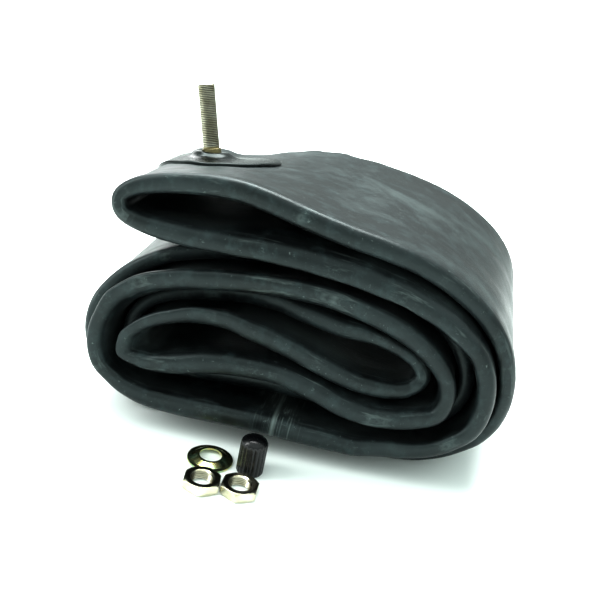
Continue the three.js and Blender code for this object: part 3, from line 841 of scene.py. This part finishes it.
@dataclass(frozen=True)
class MouldedPlastic:
    """A moulded plastic or seal rubber with a plain skin."""

    name: str
    plain: int
    rubbed: int
    roughness: float
    grain_mm: float = 0.7
    relief_mm: float = 0.015

    def build(self) -> bpy.types.Material:
        """Plain colour with a slightly rubbed skin and faint flow marks."""
        material, tree = new_material(self.name)
        place = add(tree, "ShaderNodeTexCoord").outputs["Object"]
        grain = speckle(tree, place, self.grain_mm, 4.0, 0.7)
        spots = ranged(tree, grain, (0.55, 0.8))
        colour = mixed(tree, spots, linear(self.plain), linear(self.rubbed))
        rough = ranged(tree, spots, (0.0, 1.0), (self.roughness, self.roughness + 0.2))
        shown(tree, {"IOR": 1.49}, {"Base Color": colour, "Roughness": rough}, grain, self.relief_mm)
        return material


# ---- The rolled tube ------------------------------------------------------------------------


@dataclass
class RolledTube:
    """The rubber ring itself, folded into a band and rolled up."""

    route: Route
    turn_step: float = math.radians(4.5)
    longest: float = 3.0
    start_stop: int = 74
    squareness: float = 0.78
    waist: float = 0.1
    waist_from: tuple[float, float] = (7.0, 22.0)
    ripple_mm: float = 0.35
    joint_x: float = 0.0
    joint_stops: tuple[int, int] = (14, 22)
    flats: tuple[float, ...] = (6.5, 9, 12, 16, 21, 28, 38, 50, 62, 74, 86, 98, 110, 119, 125, 130, 133.5)
    edge_steps: int = 8

    def section(self, thickness: float) -> list[tuple[float, float]]:
        """The flattened tube's outline, a little slimmer between its two round edges.

        Args:
            thickness: how thick the band is at this place.

        Returns:
            Across and off of each point, once round.
        """
        width, r = self.route.flat_width, thickness / 2
        low, high = self.waist_from

        def half(across: float) -> float:
            """Half of the thickness there."""
            inward = min(across, width - across)
            return r * (1 - self.waist * smoothstep(low, high, inward))

        arc = [math.pi * k / (2 * self.edge_steps) for k in range(self.edge_steps)]
        front = [(r * (1 - math.cos(a) ** self.squareness), r * math.sin(a) ** self.squareness) for a in arc]
        upper = [(f, half(f)) for f in self.flats]
        back = [(width - across, off) for across, off in reversed(front)]
        top = front + upper + back
        return top + [(across, -off) for across, off in reversed(top[1:-1])]

    def build(self, finish: bpy.types.Material) -> None:
        """Lays the skin round the loop and keeps what the finish reads on its points.

        Args:
            finish: the rubber.
        """
        stations = self.route.picked(self.turn_step, self.longest, self.start_stop)
        first, last = (round(stop / len(self.route.stops) * self.route.samples) for stop in self.joint_stops)
        joint_way = min(self.route.fine[first:last], key=lambda here: abs(here.x - self.joint_x)).way
        columns = len(self.section(self.route.layer))

        def place(column: int, row: int) -> Placed:
            """One point of the skin, with its way, across, rim and distance to the butt joint."""
            here = stations[row]
            across, off = self.section(here.thickness)[column]
            point = self.route.surface(here, across, off)
            inward = min(across, self.route.flat_width - across)
            calm = smoothstep(3, 20, inward)
            side = 1 if off > 0 else -1
            swell = noise.noise(point * 0.045) + 0.5 * noise.noise(point * 0.11)
            off += side * calm * self.ripple_mm * (swell - 0.6)
            point = self.route.surface(here, across, off)
            rim = 1 - smoothstep(4, 9, inward)
            joint = abs(here.way - joint_way)
            return point * MM, (here.way * MM, across * MM, rim, joint * MM)

        skin = wrapped_grid(columns, len(stations), place, ("way", "across", "rim", "joint"), ring=True)
        piece("rolled_rubber_tube", skin, finish, "tube", "rolled_tube")


# ---- The valve --------------------------------------------------------------------------------


@dataclass
class ValveSeat:
    """Where the valve stands: the stem's axis, and its place on the band."""

    route: Route
    stem_height: float = 25.8
    across: float = 70.0
    search_from: float = 0.9
    search_step: float = 0.25
    matrix: Matrix = field(init=False)
    way: float = field(init=False)

    def __post_init__(self) -> None:
        """Reads the axis from the core's joint, then finds the stem's place on the top layer."""
        turn = next(j for j in frame["joints"] if j["name"] == "plug_turn")
        up = Vector(turn["axis"]).normalized()
        base = Vector(turn["pos_m"]) - up * self.stem_height * MM
        right = Vector((0, 1, 0)).cross(up).normalized()
        deep = up.cross(right)
        self.matrix = Matrix((right, deep, up)).transposed().to_4x4()
        self.matrix.translation = base
        self.way = self.route.length * self.search_from
        while self.top(self.way, self.across, 0.0).x > base.x / MM:
            self.way += self.search_step

    def top(self, way: float, across: float, height: float) -> Vector:
        """A point on or above the top layer.

        Args:
            way: distance round the loop.
            across: distance back from the front edge.
            height: how far above the surface.

        Returns:
            The place in millimetres.
        """
        here = self.route.at(way)
        return self.route.surface(here, across, -(here.thickness / 2 + height))


@dataclass
class ValvePad:
    """The oval pad that holds the stem's foot."""

    seat: ValveSeat
    length: float = 47.0
    width: float = 48.0
    offset: float = 2.5
    sunk: float = -1.0
    sides: int = 96
    rings: tuple[tuple[float, float], ...] = (
        (0.0, 3.6), (0.12, 3.6), (0.2, 3.75), (0.235, 3.8), (0.27, 3.65), (0.3, 3.2), (0.335, 2.4),
        (0.38, 1.7), (0.44, 1.3), (0.52, 1.1), (0.62, 1.0), (0.72, 0.92), (0.82, 0.85), (0.89, 0.75),
        (0.93, 0.8), (0.96, 0.82), (0.98, 0.68), (0.993, 0.42), (1.0, 0.1),
    )

    def build(self, finish: bpy.types.Material) -> None:
        """Lays the pad on the curve of the tube, from its middle out to its lip and back under.

        Args:
            finish: the pad's rubber.
        """
        levels = [*self.rings, (1.0, self.sunk), (0.5, self.sunk), (0.0, self.sunk)]

        def place(column: int, row: int) -> Placed:
            """One point of the pad, with how much of it is lip."""
            share, height = levels[row]
            angle = 2 * math.pi * column / self.sides
            right = self.offset * share**2 + share * self.length / 2 * math.cos(angle)
            deep = share * self.width / 2 * math.sin(angle)
            point = self.seat.top(self.seat.way - right, self.seat.across + deep, height)
            return point * MM, (smoothstep(0.9, 0.955, share) * (1 - smoothstep(0.97, 0.99, share)),)

        pad = wrapped_grid(self.sides, len(levels) - 1, place, ("lip",))
        piece("moulded_valve_pad", pad, finish, "valve_patch", "rolled_tube")


@dataclass
class ValveStem:
    """The threaded stem with its plain shoulder."""

    seat: ValveSeat
    radius: float = 3.8
    top: float = 31.5
    thread_from: float = 5.9
    pitch: float = 0.72
    depth: float = 0.42
    collar_radius: float = 4.1
    collar_top: float = 5.2
    foot_radius: float = 5.7
    bore: float = 2.6
    bore_floor: float = 4.4
    sides: int = 40

    def thread(self) -> bmesh.types.BMesh:
        """Sweeps one pitch of thread up the stem, trims both ends and closes them.

        Returns:
            The threaded length with the mouth of its bore.
        """
        turns = math.ceil((self.top - self.thread_from) / self.pitch) + 2
        start = self.thread_from - self.pitch
        root, crest = self.radius - self.depth, self.radius
        made = bmesh.new()
        groove = made.verts.layers.float.new("groove")
        crown = crest - 0.03
        corners = [(root, 0.0), (root, 0.16), (crown, 0.44), (crown, 0.6), (root, 0.88), (root, 1.0)]
        verts = [made.verts.new((r * MM, 0, (start + share * self.pitch) * MM)) for r, share in corners]
        edges = [made.edges.new(pair) for pair in zip(verts, verts[1:])]
        steps = turns * self.sides
        bmesh.ops.spin(
            made,
            geom=verts + edges,
            cent=(0, 0, 0),
            axis=(0, 0, 1),
            dvec=(0, 0, self.pitch * MM / self.sides),
            angle=2 * math.pi * turns,
            steps=steps,
            use_merge=False,
        )
        bmesh.ops.remove_doubles(made, verts=made.verts, dist=1e-5)
        for height, outward in ((self.thread_from, -1), (self.top, 1)):
            bmesh.ops.bisect_plane(
                made,
                geom=made.verts[:] + made.edges[:] + made.faces[:],
                plane_co=(0, 0, height * MM),
                plane_no=(0, 0, outward),
                clear_outer=True,
            )
        for vert in made.verts:
            radius = math.hypot(vert.co.x, vert.co.y) / MM
            # The groove value marks the thread's roots, where the plated finish paints shade.
            vert[groove] = 1 - smoothstep(root + 0.04, root + 0.36, radius)
            limit = self.radius - max(0.0, vert.co.z / MM - (self.top - 0.5)) * 0.8
            if radius > limit:
                vert.co.xy = vert.co.xy * limit / radius
        mouth = self.turn_in(made, self.top, ((self.bore + 0.2, 0.0), (self.bore, -0.25)))
        foot = self.turn_in(made, self.thread_from, ((root - 0.2, -0.05), (self.bore, -0.05)))
        bmesh.ops.bridge_loops(made, edges=mouth + foot)
        return made

    def turn_in(
        self, made: bmesh.types.BMesh, height: float, rims: tuple[tuple[float, float], ...]
    ) -> list[bmesh.types.BMEdge]:
        """Extrudes an open end through a row of rims.

        Args:
            made: the thread.
            height: where the open end lies.
            rims: radius, and height against the end, of each rim.

        Returns:
            The edges of the last rim.
        """
        edges = [e for e in made.edges if e.is_boundary and abs(e.verts[0].co.z / MM - height) < 0.3]
        for radius, rise in rims:
            grown = bmesh.ops.extrude_edge_only(made, edges=edges)["geom"]
            edges = [g for g in grown if isinstance(g, bmesh.types.BMEdge)]
            for vert in (g for g in grown if isinstance(g, bmesh.types.BMVert)):
                vert.co.xy = vert.co.xy.normalized() * radius * MM
                vert.co.z = (height + rise) * MM
        return edges

    def build(self, finish: bpy.types.Material, bare: bpy.types.Material) -> None:
        """Joins the thread to its shoulder and foot and stands it on the pad.

        Args:
            finish: the plated metal.
            bare: the brass of the shoulder.
        """
        made = self.thread()
        shoulder = spun(
            [
                (0.0, 0.6),
                (self.foot_radius, 0.6),
                (self.foot_radius, 1.6),
                (self.collar_radius, 1.7),
                (self.collar_radius, self.collar_top - 0.2),
                (self.collar_radius - 0.2, self.collar_top),
                (self.radius - 0.4, self.collar_top + 0.1),
                (self.radius - 0.4, self.thread_from + 0.1),
                (self.bore, self.thread_from + 0.1),
                (self.bore, self.bore_floor),
                (0.0, self.bore_floor),
            ],
            48,
        )
        for face in shoulder.faces:
            face.material_index = 1
        spare = bpy.data.meshes.new("shoulder")
        shoulder.to_mesh(spare)
        shoulder.free()
        made.from_mesh(spare)
        bpy.data.meshes.remove(spare)
        bmesh.ops.recalc_face_normals(made, faces=made.faces)
        bmesh.ops.transform(made, matrix=self.seat.matrix, verts=made.verts)
        piece("threaded_valve_stem", made, finish, "valve_stem", "rolled_tube", bare)


@dataclass
class ValveCore:
    """The core inside the stem, kept as the frame has it and dressed."""

    brass: tuple[str, ...] = ("core_plug", "core_barrel", "core_pin", "core_cup")
    seals: tuple[str, ...] = ("core_gasket", "core_seat_seal")
    springs: tuple[str, ...] = ("core_spring",)

    def dress(self, brass: bpy.types.Material, seal: bpy.types.Material, spring: bpy.types.Material) -> None:
        """Gives each node of the core its material.

        Args:
            brass: for the turned pieces.
            seal: for the two rubber rings.
            spring: for the wire.
        """
        for names, finish in ((self.brass, brass), (self.seals, seal), (self.springs, spring)):
            for name in names:
                mesh = frame["nodes"][name].data
                mesh.materials.clear()
                mesh.materials.append(finish)
                log.info("%s: dressed", name)


# ---- The loose hardware -------------------------------------------------------------------------


def on_node(shape: bmesh.types.BMesh, node: str, turn: float = 0.0) -> None:
    """Stands a shape in the middle of a CAD node, on the floor.

    Args:
        shape: the shape, round the Z axis.
        node: the node's name.
        turn: degrees that it is turned about Z.
    """
    low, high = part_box(node)
    middle = (low + high) / 2
    place = Matrix.Translation((middle.x, middle.y, low.z)) @ Matrix.Rotation(math.radians(turn), 4, "Z")
    bmesh.ops.transform(shape, matrix=place, verts=shape.verts)


@dataclass
class RimNut:
    """A thin hexagon nut with a chamfer on both faces and its thread showing."""

    node: str
    turn: float
    across_flats: float = 12.7
    height: float = 3.8
    bore: float = 3.95
    pitch: float = 0.72
    thread_depth: float = 0.4
    chamfer: float = 0.55
    columns: int = 96
    thread_rows: int = 36

    def build(self, finish: bpy.types.Material) -> None:
        """Lays the nut's outline from its bore, round the outside and back down the thread.

        Args:
            finish: the plated metal.
        """
        flat, corner = self.across_flats / 2, self.across_flats / math.sqrt(3)
        turned = flat - 0.1
        mouth = self.bore + self.chamfer
        lower = [(0, mouth, 0.0), (0, turned, 0.0), (1, turned, 0.0)]
        outside = lower + [(on_hexagon, radius, 1.0) for on_hexagon, radius, _ in reversed(lower)]

        def place(column: int, row: int) -> Placed:
            """One point of the nut, with how deep in a thread it lies."""
            angle = 2 * math.pi * column / self.columns
            groove = 0.0
            if row < len(outside):
                on_hexagon, radius, end = outside[row]
                z = end * self.height
                if on_hexagon:
                    within = (angle + math.pi / 6) % (math.pi / 3) - math.pi / 6
                    radius = flat / math.cos(within)
                    z += (1 - 2 * end) * ((radius - turned) * 0.6)
                    radius = min(radius, corner)
            else:
                share = (row - len(outside)) / self.thread_rows
                z = self.height - self.chamfer * 0.9 - share * (self.height - 1.8 * self.chamfer)
                phase = (z / self.pitch - angle / (2 * math.pi)) % 1.0
                # The groove value is 1 in the thread's roots, where the plated finish paints shade.
                groove = abs(2 * phase - 1)
                radius = self.bore - self.thread_depth * (1 - groove) * 0.9
            point = Vector((radius * math.cos(angle), radius * math.sin(angle), z))
            return point * MM, (groove,)

        shape = wrapped_grid(self.columns, len(outside) + self.thread_rows + 1, place, ("groove",), ring=True)
        outer = (self.bore + self.chamfer * 0.6) * MM
        eased(shape, 0.12, lambda e: all(v.co.xy.length > outer for v in e.verts))
        on_node(shape, self.node, self.turn)
        piece(f"{self.node}_plated", shape, finish, self.node, self.node)


@dataclass
class CupWasher:
    """The dished washer: a flat rim, a cone and a hole at its top."""

    node: str = "cup_washer"
    radius: float = 8.6
    sheet: float = 0.8
    height: float = 2.3
    flange: float = 1.6
    hole: float = 4.2
    sides: int = 120

    def build(self, finish: bpy.types.Material) -> None:
        """Spins the pressed sheet and rounds its edges.

        Args:
            finish: the plated sheet.
        """
        foot = self.radius - self.flange
        shape = spun(
            [
                (self.hole, self.height - self.sheet),
                (self.hole + 0.5, self.height - self.sheet - 0.15),
                (foot - 0.3, 0.1),
                (foot, 0.0),
                (self.radius, 0.0),
                (self.radius, self.sheet),
                (foot + 0.5, self.sheet),
                (foot + 0.1, self.sheet + 0.12),
                (self.hole + 1.1, self.height - 0.1),
                (self.hole + 0.7, self.height),
                (self.hole, self.height),
            ],
            self.sides,
        )
        eased(shape, 0.14, lambda e: True)
        on_node(shape, self.node)
        piece("dished_washer", shape, finish, self.node, self.node)


@dataclass
class DustCap:
    """The fluted cap with a domed top, standing on its mouth."""

    node: str = "valve_cap"
    radius: float = 5.1
    length: float = 15.0
    wall: float = 1.15
    flutes: int = 18
    flute_depth: float = 0.28
    dome: float = 3.2
    columns: int = 180
    dome_rows: int = 12

    def profile(self) -> list[tuple[float, float, float]]:
        """The cap's outline from the top of its bore down, round its mouth and up to the pole.

        Returns:
            Radius, height and how much of the flutes shows, for each row.
        """
        bore = self.radius - self.wall
        inside = [(0.0, self.length - self.dome, 0.0), (bore, self.length - self.dome, 0.0), (bore, 0.4, 0.0)]
        mouth = [(bore + 0.25, 0.0, 0.0), (self.radius - 0.55, 0.0, 0.0), (self.radius - 0.4, 0.06, 0.0)]
        side = [(self.radius - 0.08, 0.55, 0.4), (self.radius, 0.8, 1.0)]
        side += [(self.radius, 0.8 + (self.length - self.dome - 1.4) * k / 6, 1.0) for k in range(1, 7)]
        crown = []
        for k in range(self.dome_rows + 1):
            angle = math.pi / 2 * k / self.dome_rows
            crown.append(
                (
                    self.radius * math.cos(angle) ** 0.8 if k < self.dome_rows else 0.0,
                    self.length - self.dome + self.dome * math.sin(angle),
                    max(0.0, 1 - k / 4),
                )
            )
        return inside + mouth + side + crown

    def build(self, finish: bpy.types.Material) -> None:
        """Lays the profile round the axis with its flutes.

        Args:
            finish: the plastic.
        """
        rows = self.profile()

        def place(column: int, row: int) -> Placed:
            """One point of the cap."""
            radius, z, fluted = rows[row]
            angle = 2 * math.pi * column / self.columns
            valley = (0.5 + 0.5 * math.cos(self.flutes * angle)) ** 2
            radius -= fluted * self.flute_depth * valley
            return Vector((radius * math.cos(angle), radius * math.sin(angle), z)) * MM, ()

        shape = wrapped_grid(self.columns, len(rows) - 1, place)
        on_node(shape, self.node)
        piece("fluted_dust_cap", shape, finish, self.node, self.node)


# ---- The studio -----------------------------------------------------------------------------------


@dataclass(frozen=True)
class Softbox:
    """A soft rectangular lamp, aimed at the roll."""

    name: str
    place: tuple[float, float, float]
    size: tuple[float, float]
    power: float
    tint: int = 0xFFFFFF


@dataclass
class Studio:
    """A pale sweep, soft lamps and the camera."""

    aim: tuple[float, float, float] = (0.0, 0.0, 0.05)
    camera_place: tuple[float, float, float] = (0.0, -0.3263, 0.1619)
    pitch: float = 69.0
    roll: float = 12.0
    lens: float = 45.0
    sensor: float = 36.0
    floor_size: float = 6.0
    gamma: float = 0.76
    exposure: float = 0.5
    sky: float = 1.4
    horizon: float = 0.9
    behind: float = 0.55
    sweep: float = 1.2
    paint: int = 0xECF1EF
    air: int = 0xF4FFFC
    lamps: tuple[Softbox, ...] = (
        Softbox("overhead", (-0.05, 0.25, 0.9), (0.8, 0.5), 16.0),
        Softbox("left_strip", (-0.8, -0.3, 0.5), (0.3, 0.8), 5.0),
        Softbox("back_left", (-0.45, 0.75, 0.4), (0.5, 0.4), 2.0),
    )

    def floor(self) -> None:
        """The pale floor."""
        made = bmesh.new()
        bmesh.ops.create_grid(made, x_segments=1, y_segments=1, size=self.floor_size / 2)
        mesh = bpy.data.meshes.new("studio_floor")
        made.to_mesh(mesh)
        made.free()
        material, tree = new_material("matt paint, studio floor")
        settings = {"Base Color": linear(self.paint), "Roughness": 0.8, "Specular IOR Level": 0.2}
        surface = add(tree, "ShaderNodeBsdfPrincipled", settings)
        add(tree, "ShaderNodeOutputMaterial", None, {"Surface": surface.outputs[0]})
        mesh.materials.append(material)
        plane = bpy.data.objects.new("studio_floor", mesh)
        bpy.context.scene.collection.objects.link(plane)

    def light(self) -> None:
        """A white surround and soft lamps."""
        world = bpy.data.worlds.new("studio")
        bpy.context.scene.world = world
        world.use_nodes = True
        tree = world.node_tree
        tree.nodes.clear()
        way = add(tree, "ShaderNodeTexCoord").outputs["Generated"]
        seen_at = add(tree, "ShaderNodeSeparateXYZ", None, {0: way})
        rise = ranged(tree, seen_at.outputs[2], (0.0, 0.75), (self.horizon, self.sky))
        # The far side of the room is dimmer than the near side, so edges seen at a glance stay dark.
        far = ranged(tree, seen_at.outputs[1], (-0.4, 0.8), (1.0, self.behind))
        graded = sums(tree, "MULTIPLY", rise, far)
        room = add(tree, "ShaderNodeBackground", {"Color": linear(self.air)}, {"Strength": graded})
        sweep = add(tree, "ShaderNodeBackground", {"Color": linear(0xFFFFFF), "Strength": self.sweep})
        seen = add(tree, "ShaderNodeLightPath").outputs["Is Camera Ray"]
        chosen = add(tree, "ShaderNodeMixShader", None, {0: seen, 1: room.outputs[0], 2: sweep.outputs[0]})
        add(tree, "ShaderNodeOutputWorld", None, {"Surface": chosen.outputs[0]})
        for lamp in self.lamps:
            data = bpy.data.lights.new(lamp.name, "AREA")
            data.shape = "RECTANGLE"
            data.size, data.size_y = lamp.size
            data.energy = lamp.power
            data.color = linear(lamp.tint)[:3]
            made = bpy.data.objects.new(lamp.name, data)
            made.location = lamp.place
            made.rotation_euler = (Vector(self.aim) - Vector(lamp.place)).to_track_quat("-Z", "Y").to_euler()
            bpy.context.scene.collection.objects.link(made)

    def shoot(self) -> None:
        """The camera and the way that its picture is developed."""
        data = bpy.data.cameras.new("camera")
        data.lens, data.sensor_width = self.lens, self.sensor
        data.clip_start, data.clip_end = 0.01, 20
        data.dof.use_dof = False
        made = bpy.data.objects.new("camera", data)
        tilt = Matrix.Rotation(math.radians(self.pitch), 4, "X")
        turned = tilt @ Matrix.Rotation(math.radians(self.roll), 4, "Z")
        made.matrix_world = Matrix.Translation(self.camera_place) @ turned
        bpy.context.scene.collection.objects.link(made)
        scene = bpy.context.scene
        scene.camera = made
        scene.view_settings.view_transform = "Standard"
        scene.view_settings.gamma = self.gamma
        scene.view_settings.exposure = self.exposure

    def build(self) -> None:
        """Sets up floor, light and camera."""
        self.floor()
        self.light()
        self.shoot()


# ---- The whole ------------------------------------------------------------------------------------


def main() -> None:
    """Builds every piece in order, then the studio."""
    logging.basicConfig(level=logging.INFO, format="%(name)s %(message)s")
    nickel = PlatedMetal(
        "nickel-plated brass, turned", 0xDAD6C4, 0xBDB9A2, 0x2A281F, 0.16, Wear.FRESH
    ).build()
    stem_metal = PlatedMetal(
        "nickel-plated brass, threaded", 0xE4E2D2, 0xC2BFA8, 0x16150F, 0.2, Wear.FRESH
    ).build()
    zinc = PlatedMetal(
        "zinc plate, yellow passivated", 0xD8CE93, 0xA9C3A0, 0x4C4630, 0.2, Wear.FRESH, 3.0
    ).build()
    shoulder_metal = PlatedMetal(
        "brass, turned and tarnished", 0x817A5E, 0x6A6348, 0x1E1A10, 0.36, Wear.HANDLED
    ).build()
    brass = PlatedMetal("brass, turned", 0xC9A25A, 0xB48E49, 0x3A2C14, 0.28, Wear.HANDLED).build()
    steel = PlatedMetal("spring steel, drawn", 0xA7A7A5, 0x8E8E8C, 0x2B2A28, 0.3, Wear.FRESH).build()
    seal = MouldedPlastic("seal rubber, moulded", 0x8E3A2C, 0x6E2B21, 0.5).build()
    plastic = MouldedPlastic("polypropylene, moulded, black", 0x07080A, 0x16181B, 0.22).build()
    route = Route()
    log.info("the loop is %.0f mm long", route.length)
    RolledTube(route).build(ButylRubber().build())
    seat = ValveSeat(route)
    ValvePad(seat).build(MouldedPad().build())
    ValveStem(seat).build(stem_metal, shoulder_metal)
    ValveCore().dress(brass, seal, steel)
    RimNut("rim_nut_1", 2.0).build(nickel)
    RimNut("rim_nut_2", -4.0).build(nickel)
    CupWasher().build(zinc)
    DustCap().build(plastic)
    Studio().build()


if __name__ == "__main__":
    main()
